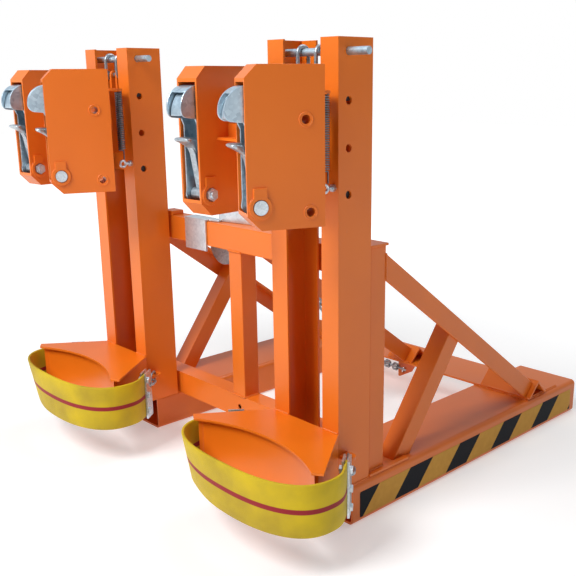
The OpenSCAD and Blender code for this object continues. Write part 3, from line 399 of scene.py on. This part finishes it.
def belt_route():
    straight_steps = 6
    bend_steps = 12
    bulge_steps = 48
    bend_start = (belt_half - belt_bend_radius * (1 - math.cos(belt_bend)),
                  belt_widest + belt_bend_radius * math.sin(belt_bend))
    right_half = []
    for i in range(straight_steps):
        left = belt_straight * (1 - i / straight_steps)
        right_half.append((bend_start[0] - left * math.sin(belt_bend),
                           bend_start[1] + left * math.cos(belt_bend)))
    for i in range(bend_steps):
        a = belt_bend * (1 - i / bend_steps)
        right_half.append((belt_half - belt_bend_radius * (1 - math.cos(a)),
                           belt_widest + belt_bend_radius * math.sin(a)))
    for i in range(bulge_steps + 1):
        a = math.pi / 2 * i / bulge_steps
        right_half.append((belt_half * max(math.cos(a), 0) ** (2 / belt_square),
                           belt_widest - belt_bulge * math.sin(a) ** (2 / belt_square)))
    return right_half + [(-x, y) for x, y in reversed(right_half[:-1])]


def belt_webbing():
    warp = 2600
    weft = 1900
    stripe_half = 0.0052
    stripe_fades = 0.0060
    material, tree, shader, place = start_finish("belt_webbing", {
        "Roughness": 0.6, "Specular IOR Level": 0.25, "Sheen Weight": 0.03})
    join = tree.links.new
    split = add(tree, "ShaderNodeSeparateXYZ")
    join(place.outputs["UV"], split.inputs["Vector"])
    waves = [calc(tree, "SINE", calc(tree, "MULTIPLY", split.outputs[axis], count))
             for axis, count in (("X", warp), ("Y", weft))]
    weave = calc(tree, "MULTIPLY", *waves)
    soil = add(tree, "ShaderNodeTexNoise", {"Scale": 9, "Detail": 7})
    tone = ramp(tree, (0.28, (0.42, 0.29, 0.018)), (0.62, (0.66, 0.47, 0.008)))
    join(place.outputs["Object"], soil.inputs["Vector"])
    join(soil.outputs["Fac"], tone.inputs["Fac"])
    away = calc(tree, "ABSOLUTE", calc(tree, "SUBTRACT", split.outputs["Y"], belt_width / 2))
    stripe = add(tree, "ShaderNodeMapRange", {"From Min": stripe_half, "From Max": stripe_fades,
                                              "To Min": 1, "To Max": 0})
    mix = add(tree, "ShaderNodeMix", {"B": (0.30, 0.014, 0.020, 1)}, data_type="RGBA")
    bump = add(tree, "ShaderNodeBump", {"Strength": 0.35, "Distance": 0.0006})
    join(away, stripe.inputs["Value"])
    join(tone.outputs["Color"], mix.inputs["A"])
    join(stripe.outputs["Result"], mix.inputs["Factor"])
    join(mix.outputs["Result"], shader.inputs["Base Color"])
    join(weave, bump.inputs["Height"])
    join(bump.outputs["Normal"], shader.inputs["Normal"])
    return material


def belt_section():
    half = belt_thick / 2
    corner_out = half * 0.7
    corner_in = belt_hem * 0.3
    levels = [belt_hem, belt_width * 0.25, belt_width * 0.5, belt_width * 0.75, belt_width - belt_hem]
    return ([(-half, z) for z in levels]
            + [(-corner_out, belt_width - corner_in), (0, belt_width), (corner_out, belt_width - corner_in)]
            + [(half, z) for z in reversed(levels)]
            + [(corner_out, corner_in), (0, 0), (-corner_out, corner_in)])


def belt_lean(part):
    held_share = 0.1
    lean_all = 0.004
    lean_most = 0.017
    lean_at = 0.71
    lean_spread = 0.14
    held = min(1, part / held_share, (1 - part) / held_share)
    return held * (lean_most * math.exp(-((part - lean_at) / lean_spread) ** 2) + lean_all)


def make_belt(node, webbing):
    low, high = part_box(node)
    middle = (low.x + high.x) / 2
    route = belt_route()
    section = belt_section()
    whole = sum(math.dist(a, b) for a, b in zip(route, route[1:]))
    build = bmesh.new()
    uv = build.loops.layers.uv.new("run")
    rings = []
    runs = []
    run = 0
    for i, (x, y) in enumerate(route):
        before = route[max(i - 1, 0)]
        after = route[min(i + 1, len(route) - 1)]
        along = Vector((after[0] - before[0], after[1] - before[1]))
        along.normalize()
        if i:
            run += math.dist(route[i - 1], route[i])
        runs.append(run)
        lean = belt_lean(run / whole)
        ring = []
        for d, z in section:
            out = d - lean * (1 - z / belt_width)
            ring.append(build.verts.new((middle + x - along.y * out, y + along.x * out, low.z + z)))
        rings.append(ring)
    for i in range(len(rings) - 1):
        for k in range(len(section)):
            j = (k + 1) % len(section)
            face = build.faces.new((rings[i][k], rings[i + 1][k], rings[i + 1][j], rings[i][j]))
            face.smooth = True
            corners = ((runs[i], section[k][1]), (runs[i + 1], section[k][1]),
                       (runs[i + 1], section[j][1]), (runs[i], section[j][1]))
            for loop, corner in zip(face.loops, corners):
                loop[uv].uv = corner
    build.faces.new(rings[0])
    build.faces.new(list(reversed(rings[-1])))
    bmesh.ops.recalc_face_normals(build, faces=build.faces)
    mesh = bpy.data.meshes.new(node + "_webbing")
    build.to_mesh(mesh)
    build.free()
    belt = set_down(node + "_webbing", mesh)
    mesh.materials.append(webbing)
    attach(belt, "frame")
    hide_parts(node)


yellow_webbing = belt_webbing()
make_belt("right_belt", yellow_webbing)
make_belt("left_belt", yellow_webbing)

clamp_zinc = zinc_plating("clamp_zinc", (0.72, 0.78, 0.82), (0.42, 0.46, 0.50), 0.30, 300)
finish(clamp_zinc, "belt_clamp_bars", "belt_clamp_bolts", "spring_anchors")
round_edges(0.0008, "belt_clamp_bars", "belt_clamp_bolts")


# Head casings
# Each hook unit sits in a folded box of 5 mm plate with clipped front corners.
# Two cross tubes and two tabbed rings round the pivot bolt are welded to it.
casing_paint = painted_steel("casing_paint", (0.76, 0.168, 0.014), (0.72, 0.155, 0.013), 0.2)
for side in sides:
    casings = [f"{side}_{hand}_casing" for hand in hands]
    finish(casing_paint, *casings, side + "_head_shelf", side + "_carriage")
    round_edges(0.0012, *casings)
    round_edges(0.001, side + "_head_shelf", side + "_carriage")


# Pivot bolts and bridges
# One shoulder bolt with a round head goes through each unit's casing, hook and jaw.
# A flat bar bridges the two casings of a head near their tops.
for side in sides:
    finish(clamp_zinc, side + "_pivot_bolts")
    finish(strap_zinc, side + "_head_bridge")
    round_edges(0.0012, side + "_pivot_bolts", side + "_head_bridge")


# Pressed hooks and forged jaws
# Each hook is a channel pressed from 4 mm plate, with a curved tongue in its open mouth.
# The jaw is forged, with an eye, a narrow bar and a spoon-like lip. Both are zinc-plated.
hook_zinc = zinc_plating("hook_zinc", (0.60, 0.72, 0.79), (0.30, 0.39, 0.47), 0.36, 120)
jaw_zinc = zinc_plating("jaw_zinc", (0.56, 0.62, 0.66), (0.30, 0.33, 0.36), 0.36, 200)

head_out = 0.380
head_turn = math.radians(9)
head_splay = math.radians(13.5)
swivel_out = 0.030
unit_out = 0.141
unit_back = 0.060
column_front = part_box("right_outer_channel")[0].y
pivot_level = 0.761
pivot_ahead = 0.130


def unit_frame(s, hand):
    turned = -head_turn - hand * head_splay
    x = hand * unit_out
    y = swivel_out - unit_back
    origin = Vector((s * head_out + x * math.cos(head_turn) + y * math.sin(head_turn),
                     column_front - x * math.sin(head_turn) + y * math.cos(head_turn) - swivel_out, 0))
    across = Vector((math.cos(turned), math.sin(turned), 0))
    ahead = Vector((math.sin(turned), -math.cos(turned), 0))
    return origin, across, ahead


def arc(centre, radius, start, end, steps):
    turns = [math.radians(start + (end - start) * i / steps) for i in range(steps + 1)]
    return [(centre[0] + radius * math.cos(a), centre[1] + radius * math.sin(a)) for a in turns]


def cut_plate(build, place, outline, x0, x1):
    near = [build.verts.new(place(x0, u, z)) for u, z in outline]
    far = [build.verts.new(place(x1, u, z)) for u, z in outline]
    faces = [build.faces.new(near), build.faces.new(list(reversed(far)))]
    for i in range(len(outline)):
        j = (i + 1) % len(outline)
        faces.append(build.faces.new((near[j], near[i], far[i], far[j])))
    bmesh.ops.recalc_face_normals(build, faces=faces)


def forge(build, place, rings):
    rows = [[build.verts.new(place(x, u, z)) for x, z in ring] for u, ring in rings]
    faces = [build.faces.new(rows[0]), build.faces.new(list(reversed(rows[-1])))]
    for a, b in zip(rows, rows[1:]):
        for i in range(len(a)):
            j = (i + 1) % len(a)
            face = build.faces.new((a[j], a[i], b[i], b[j]))
            face.smooth = True
            faces.append(face)
    bmesh.ops.recalc_face_normals(build, faces=faces)


def plated(build, name, material, part, edge):
    sharp_turn = 50
    finish(material, part)
    mesh = bpy.data.meshes.new(name)
    build.to_mesh(mesh)
    build.free()
    piece = set_down(name, mesh)
    mesh.materials.append(material)
    soften(piece, edge, sharp_turn)
    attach(piece, part)
    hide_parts(part)


plate = 0.004
heel_radius = 0.022
hook_back = pivot_ahead - heel_radius
cheek_front = 0.150
cheek_inner = 0.0192
hook_half = 0.0230
nose_top = 0.219
nose_foot = 0.1555
nose_radius = 0.044
nose_middle = (0.1475, nose_top - nose_radius)
chin_radius = 0.0155
chin_middle = (nose_middle[0] + nose_radius - chin_radius, nose_foot + chin_radius)
crown_clip = 0.008
crown_inside = 0.010
band_foot = 0.026
band_half = 0.0195
band_end = 46
tongue_middle = (0.126, 0.160)
tongue_radius = 0.060
tongue_half = 0.0160
tongue_end = 58
bore_radius = 0.0085
bore = arc((pivot_ahead, 0), bore_radius, 180, -180, 20)
slit = 0.0001
heel_top = 0.012
throat_foot = 0.140
throat_top = (0.156, 0.1535)
crown = [(hook_back + crown_clip, nose_top), (hook_back, nose_top - crown_clip)]
throat = [(cheek_front, heel_top), (cheek_front, throat_foot), throat_top]
cheek = (arc((pivot_ahead, 0), heel_radius, 180, 360, 14) + throat
         + arc(chin_middle, chin_radius, -90, 0, 7) + arc(nose_middle, nose_radius, 0, 90, 16)
         + crown + [(hook_back, slit)] + bore)
band = (arc(nose_middle, nose_radius, band_end, 90, 9) + crown
        + [(hook_back, band_foot), (hook_back + plate, band_foot),
           (hook_back + plate, nose_top - crown_inside), (hook_back + crown_inside, nose_top - plate)]
        + arc(nose_middle, nose_radius - plate, 90, band_end, 9))
tongue = (arc(tongue_middle, tongue_radius, 0, tongue_end, 14)
          + arc(tongue_middle, tongue_radius - plate, tongue_end, 0, 14))

eye_radius = 0.013
eye_half = 0.0180
bar_half = 0.0085
eye = arc((pivot_ahead, 0), eye_radius, 180, 540, 28) + bore
bar = [(0.1255, 0.0125), (0.1345, 0.0120), (0.1480, 0.083), (0.1560, 0.100),
       (0.1480, 0.1145), (0.1420, 0.1145), (0.1390, 0.083)]


def lip_rings():
    ring_points = 20
    squareness = 0.55
    rings = []
    for reach, half, upper, lower in (
            (0.1420, 0.0100, 0.1130, 0.0800), (0.1490, 0.0135, 0.1158, 0.0900),
            (0.1560, 0.0170, 0.1170, 0.0975), (0.1625, 0.0180, 0.1174, 0.1015),
            (0.1662, 0.0205, 0.1174, 0.1040), (0.1710, 0.0222, 0.1172, 0.1065),
            (0.1755, 0.0215, 0.1168, 0.1085), (0.1785, 0.0188, 0.1155, 0.1105)):
        middle = (upper + lower) / 2
        tall = (upper - lower) / 2
        ring = []
        for i in range(ring_points):
            a = 2 * math.pi * i / ring_points
            x = math.copysign(abs(math.cos(a)) ** squareness, math.cos(a))
            z = math.copysign(abs(math.sin(a)) ** squareness, math.sin(a))
            ring.append((half * x, middle + tall * z))
        rings.append((reach, ring))
    return rings


for side, s in sides.items():
    for hand in (1, -1):
        unit = f"{side}_{'outer' if hand == s else 'inner'}"
        origin, across, ahead = unit_frame(s, hand)

        def in_unit(x, u, z):
            return origin + across * x + ahead * u + Vector((0, 0, pivot_level + z))

        hook = bmesh.new()
        cut_plate(hook, in_unit, cheek, -hook_half, -cheek_inner)
        cut_plate(hook, in_unit, cheek, cheek_inner, hook_half)
        cut_plate(hook, in_unit, band, -band_half, band_half)
        cut_plate(hook, in_unit, tongue, -tongue_half, tongue_half)
        plated(hook, unit + "_pressed_hook", hook_zinc, unit + "_hook", 0.0012)

        jaw = bmesh.new()
        cut_plate(jaw, in_unit, eye, -eye_half, eye_half)
        cut_plate(jaw, in_unit, bar, -bar_half, bar_half)
        forge(jaw, in_unit, lip_rings())
        plated(jaw, unit + "_forged_jaw", jaw_zinc, unit + "_jaw", 0.0008)


# Pins, hangers and guide shoes
# The head hangs from a plated pin through both webs, on two links and a bolt. It slides
# in the slot on black nylon shoes.
def grained(name, dark, light, scale, values):
    material, tree, shader, place = start_finish(name, values)
    grain = add(tree, "ShaderNodeTexNoise", {"Scale": scale})
    tone = ramp(tree, (0, dark), (1, light))
    tree.links.new(place.outputs["Object"], grain.inputs["Vector"])
    tree.links.new(grain.outputs["Fac"], tone.inputs["Fac"])
    tree.links.new(tone.outputs["Color"], shader.inputs["Base Color"])
    return material


nylon = grained("shoe_nylon", (0.010, 0.010, 0.011), (0.030, 0.030, 0.032), 80, {"Roughness": 0.5})
for side in sides:
    finish(nylon, side + "_guide_shoes")
    round_edges(0.0015, side + "_guide_shoes")
    finish(hook_zinc, side + "_adjusting_pin")
    # The hangers take the darker zinc, which is painted shade.
    finish(shaded_zinc, side + "_hanger")


# Return springs
# A close-wound spring of dark oiled wire stands beside each head, between an eye bolt
# on the column and an arm on the carriage. Its lower end runs straight down to the eye.
spring_steel = grained("spring_steel", (0.06, 0.065, 0.07), (0.22, 0.23, 0.25), 120,
                       {"Metallic": 0.9, "Roughness": 0.3})
spring_turns = 32
spring_radius = 0.0083
spring_wire = 0.0034
spring_tail = 0.024


def name_inputs(tree, *sizes):
    for name, value in sizes:
        socket = tree.interface.new_socket(name, in_out="INPUT", socket_type="NodeSocketFloat")
        socket.default_value = value
    return tree.nodes.new("NodeGroupInput").outputs


def close_up(tree, sweep, material):
    smooth = add(tree, "GeometryNodeSetShadeSmooth")
    realize = add(tree, "GeometryNodeRealizeInstances")
    dress = add(tree, "GeometryNodeSetMaterial", {"Material": material})
    output = tree.nodes.new("NodeGroupOutput")
    chain = (sweep, smooth, realize, dress, output)
    for source, target in zip(chain, chain[1:]):
        tree.links.new(source.outputs[0], target.inputs[0])


def wound_wire(material):
    coil_steps = 16
    wire_sides = 8
    tree = bpy.data.node_groups.new("wound_wire", "GeometryNodeTree")
    tree.interface.new_socket("Geometry", in_out="OUTPUT", socket_type="NodeSocketGeometry")
    size = name_inputs(tree, ("Turns", spring_turns), ("Coil radius", spring_radius), ("Height", 0.147),
                       ("Wire", spring_wire), ("Tail", spring_tail))
    join = tree.links.new
    spiral = add(tree, "GeometryNodeCurveSpiral", {"Resolution": coil_steps})
    for socket, name in (("Rotations", "Turns"), ("Start Radius", "Coil radius"),
                         ("End Radius", "Coil radius"), ("Height", "Height")):
        join(size[name], spiral.inputs[socket])
    section = add(tree, "GeometryNodeCurvePrimitiveCircle", {"Resolution": wire_sides})
    join(calc(tree, "MULTIPLY", size["Wire"], 0.5), section.inputs["Radius"])
    foot = add(tree, "ShaderNodeCombineXYZ")
    start = add(tree, "ShaderNodeCombineXYZ")
    for point in (foot, start):
        join(size["Coil radius"], point.inputs["X"])
    join(calc(tree, "MULTIPLY", size["Tail"], -1), foot.inputs["Z"])
    tail = add(tree, "GeometryNodeCurvePrimitiveLine")
    join(foot.outputs[0], tail.inputs["Start"])
    join(start.outputs[0], tail.inputs["End"])
    both = add(tree, "GeometryNodeJoinGeometry")
    join(spiral.outputs["Curve"], both.inputs[0])
    join(tail.outputs["Curve"], both.inputs[0])
    sweep = add(tree, "GeometryNodeCurveToMesh", {"Fill Caps": True})
    join(both.outputs[0], sweep.inputs["Curve"])
    join(section.outputs["Curve"], sweep.inputs["Profile Curve"])
    close_up(tree, sweep, material)
    return tree


def made_solid(name, source, tree, sizes, material, shift):
    holder = set_down(name + "_source", source)
    made = holder.modifiers.new("made", "NODES")
    made.node_group = tree
    sockets = {item.name: item.identifier for item in tree.interface.items_tree if item.in_out == "INPUT"}
    for size, value in sizes.items():
        made[sockets[size]] = value
    evaluated = holder.evaluated_get(bpy.context.evaluated_depsgraph_get())
    mesh = bpy.data.meshes.new_from_object(evaluated)
    mesh.transform(Matrix.Translation(shift))
    bpy.data.objects.remove(holder)
    mesh.materials.clear()
    mesh.materials.append(material)
    return set_down(name, mesh)


spring_tree = wound_wire(spring_steel)
for side in sides:
    low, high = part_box(side + "_return_spring")
    foot = Vector(((low.x + high.x) / 2, (low.y + high.y) / 2, low.z))
    coil_height = high.z - low.z - spring_tail - spring_wire / 2
    spring = made_solid(side + "_coil_spring", bpy.data.meshes.new("spring_source"), spring_tree,
                        {"Height": coil_height}, spring_steel, foot + Vector((0, 0, spring_tail)))
    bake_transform(spring)
    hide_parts(side + "_return_spring")


# Welds
# The main seams of the painted frame and the rings on the heads are closed with rippled
# fillet welds, laid by hand before painting and sprayed over with the rest.
def weld_bead(material):
    ripple_steps = 4
    bead_sides = 6
    tree = bpy.data.node_groups.new("weld_bead", "GeometryNodeTree")
    tree.interface.new_socket("Geometry", in_out="OUTPUT", socket_type="NodeSocketGeometry")
    tree.interface.new_socket("Geometry", in_out="INPUT", socket_type="NodeSocketGeometry")
    size = name_inputs(tree, ("Leg", 0.0032), ("Ripple", 0.0050), ("Swell", 0.16))
    join = tree.links.new
    curve = add(tree, "GeometryNodeMeshToCurve")
    steps = add(tree, "GeometryNodeResampleCurve", mode="LENGTH")
    index = add(tree, "GeometryNodeInputIndex")
    wave = calc(tree, "SINE", calc(tree, "MULTIPLY", index.outputs[0], 2 * math.pi / ripple_steps))
    swell = calc(tree, "MULTIPLY_ADD", wave, size["Swell"], 1)
    width = add(tree, "GeometryNodeSetCurveRadius")
    section = add(tree, "GeometryNodeCurvePrimitiveCircle", {"Resolution": bead_sides, "Radius": 1})
    radius = add(tree, "GeometryNodeInputRadius")
    sweep = add(tree, "GeometryNodeCurveToMesh", {"Fill Caps": True})
    join(size["Geometry"], curve.inputs["Mesh"])
    join(calc(tree, "MULTIPLY", size["Ripple"], 1 / ripple_steps), steps.inputs["Length"])
    join(curve.outputs["Curve"], steps.inputs["Curve"])
    join(steps.outputs["Curve"], width.inputs["Curve"])
    join(calc(tree, "MULTIPLY", swell, size["Leg"]), width.inputs["Radius"])
    join(width.outputs["Curve"], sweep.inputs["Curve"])
    join(section.outputs["Curve"], sweep.inputs["Profile Curve"])
    join(radius.outputs[0], sweep.inputs["Scale"])
    close_up(tree, sweep, material)
    return tree


def lay_welds(name, runs, tree, material, body, leg):
    points = []
    edges = []
    for run in runs:
        first = len(points)
        points.extend(run)
        edges.extend((first + i, first + i + 1) for i in range(len(run) - 1))
    lines = bpy.data.meshes.new(name + "_lines")
    lines.from_pydata(points, edges, [])
    weld = made_solid(name, lines, tree, {"Leg": leg}, material, Vector((0, 0, 0)))
    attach(weld, body)


def seam(box, side, level, near=0.0, far=0.0):
    low, high = box
    if side in ("front", "rear"):
        y = low.y if side == "front" else high.y
        return [(low.x + near, y, level), (high.x - far, y, level)]
    x = low.x if side == "left" else high.x
    return [(x, low.y + near, level), (x, high.y - far, level)]


post_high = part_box("rear_posts")[1]
beam_low, beam_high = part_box("upper_crossbeam")
ground_low, ground_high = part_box("lower_crossbeam")
centre_low, centre_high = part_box("centre_post")
cross_low, cross_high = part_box("rear_cross_plate")
plate_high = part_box("foot_plates")[1]
brace_low, brace_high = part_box("right_brace")
feet_low, feet_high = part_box("brace_feet")
cradle_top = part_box("right_cradle")[1].z
post_x = beam_high.x
cross_seam = cross_low.z + 0.0005
frame_leg = 0.0030
seam_inset = 0.002
sleeve_set_back = 0.042
foot_seam_start = 0.440
sleeve_seam_start = 0.300
brace_seam_foot = 0.557
brace_half = 0.025
foot_half = 0.045
foot_inner = 0.345


def frame_seams():
    centre = (centre_low, centre_high)
    runs = [seam(centre, face, level) for face in ("front", "left", "right")
            for level in (centre_low.z, centre_high.z)]
    for side, s in reversed(sides.items()):
        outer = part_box(side + "_outer_channel")
        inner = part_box(side + "_inner_channel")
        runs.append(seam(outer, side, sleeve_high.z, sleeve_set_back, 0.001))
        for channel in (outer, inner):
            runs.append(seam(channel, "front", cradle_top, seam_inset, seam_inset))
        beam_end = s * post_x
        post_out = s * post_high.x
        for low, high in ((beam_low, beam_high), (ground_low, ground_high)):
            runs.append([(beam_end, low.y, low.z), (beam_end, low.y, high.z), (beam_end, high.y, high.z)])
            runs.append([(beam_end, high.y, low.z), (beam_end, high.y, high.z)])
        runs.append([(post_out, beam_low.y, plate_high.z), (post_out, post_high.y, plate_high.z),
                     (beam_end, post_high.y, plate_high.z)])
        runs.append([(s * foot_seam_start, plate_high.y, sleeve_high.z + 0.001),
                     (s * (plate_high.x - 0.003), plate_high.y, sleeve_high.z)])
        cross_end = s * cross_high.x
        runs.append([(cross_end, cross_low.y, cross_seam), (cross_end, cross_high.y, cross_seam)])
        for y in (cross_low.y, cross_high.y):
            runs.append([(s * sleeve_seam_start, y, cross_seam), (cross_end, y, cross_seam)])
        runs.append([(s * brace_high.x, brace_low.y, brace_seam_foot),
                     (s * brace_high.x, brace_low.y, brace_high.z)])
    for x0, x1 in ((-brace_high.x, -brace_low.x), (-brace_half, brace_half), (brace_low.x, brace_high.x)):
        runs.append([(x0, brace_high.y, cross_high.z), (x1, brace_high.y, cross_high.z)])
    for x0, x1 in ((-feet_high.x, -foot_inner), (-foot_half, foot_half), (foot_inner, feet_high.x)):
        for y in (feet_low.y, feet_high.y):
            runs.append([(x0 + seam_inset, y, cross_high.z), (x1 - seam_inset, y, cross_high.z)])
    return runs


head_leg = 0.0015
tube_weld = 0.0132
ring_weld = 0.0222
ring_steps = 32
casing_face = 0.0302
upper_tube = (0.038, 0.919)
lower_tube = (0.030, 0.747)


def head_seams(s):
    runs = []
    upward = Vector((0, 0, 1))
    turns = [2 * math.pi * i / ring_steps for i in range(ring_steps + 1)]
    for hand in (1, -1):
        origin, across, ahead = unit_frame(s, hand)
        for (reach, level), radius in ((upper_tube, tube_weld), (lower_tube, tube_weld),
                                       ((pivot_ahead, pivot_level), ring_weld)):
            for end in (1, -1):
                hub = origin + upward * level + ahead * reach + across * (end * casing_face)
                runs.append([tuple(hub + ahead * (radius * math.cos(a)) + upward * (radius * math.sin(a)))
                             for a in turns])
    return runs


weld_tree = weld_bead(frame_paint)
lay_welds("frame_welds", frame_seams(), weld_tree, frame_paint, "frame", frame_leg)
for side, s in sides.items():
    lay_welds(side + "_head_welds", head_seams(s), weld_tree, casing_paint, side + "_swivel", head_leg)
